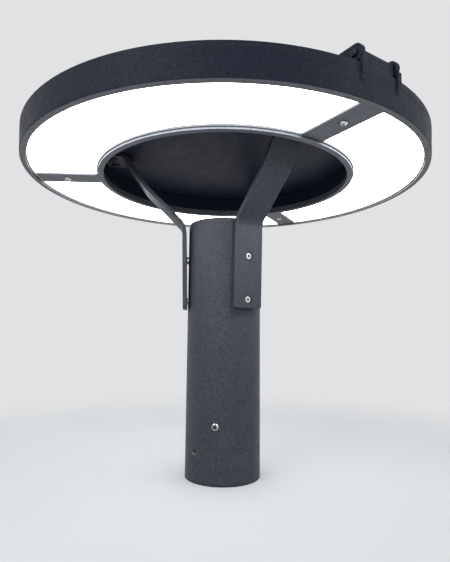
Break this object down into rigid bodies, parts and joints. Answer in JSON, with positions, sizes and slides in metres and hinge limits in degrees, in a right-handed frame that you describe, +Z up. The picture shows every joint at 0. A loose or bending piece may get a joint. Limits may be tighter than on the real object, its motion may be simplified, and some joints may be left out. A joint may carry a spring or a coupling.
{
  "type": "post-top ring lamp",
  "caption": "Ring-shaped lamp head with a hinged top lid, on three bent flat arms bolted to a round sleeve that slips over a pole top.",
  "frame": {"origin": "centre of the sleeve's open lower end, where the pole goes in", "axes": "+Z up along the sleeve; -Y is the side the picture is taken from"},
  "size_m": [0.484, 0.484, 0.4068],
  "materials": {
    "coated_steel": "satin",
    "coated_aluminium": "satin",
    "stainless": "satin",
    "black_steel": "satin",
    "zinc_steel": "satin",
    "bare_aluminium": "satin",
    "driver_case": "satin",
    "board_white": "satin",
    "opal": "matte",
    "silicone": "matte",
    "dark_silicone": "matte",
    "terminal_plastic": "matte"
  },
  "bodies": {
    "lamp": {"sleeve": "coated_steel", "sleeve_cap": "coated_steel", "set_screws": "stainless", "rivet_nuts": "zinc_steel", "flange_screws": "stainless", "arm_1": "coated_steel", "arm_2": "coated_steel", "arm_3": "coated_steel", "foot_bolts": "black_steel", "foot_nuts": "zinc_steel", "outer_ring": "coated_aluminium", "led_tray": "bare_aluminium", "centre_pan": "coated_aluminium", "inner_rim": "coated_aluminium", "led_board": "board_white", "diffuser_1": "opal", "diffuser_2": "opal", "diffuser_3": "opal", "outer_gasket": "silicone", "inner_gasket": "dark_silicone", "strip_1": "coated_steel", "strip_2": "coated_steel", "strip_3": "coated_steel", "strip_posts": "zinc_steel", "strip_screws": "stainless", "driver": "driver_case", "terminal_block": "terminal_plastic", "lid_gasket": "silicone", "hinge_pin": "black_steel"},
    "lid": {"lid": "coated_aluminium", "lid_screw": "stainless"}
  },
  "joints": [
    {"name": "lid_hinge", "type": "hinge", "parent": "lamp", "child": "lid", "pos_m": [0.12676, -0.19669, 0.3988], "axis": [0.8406, 0.5417, 0], "range_deg": [0, 90]}
  ]
}
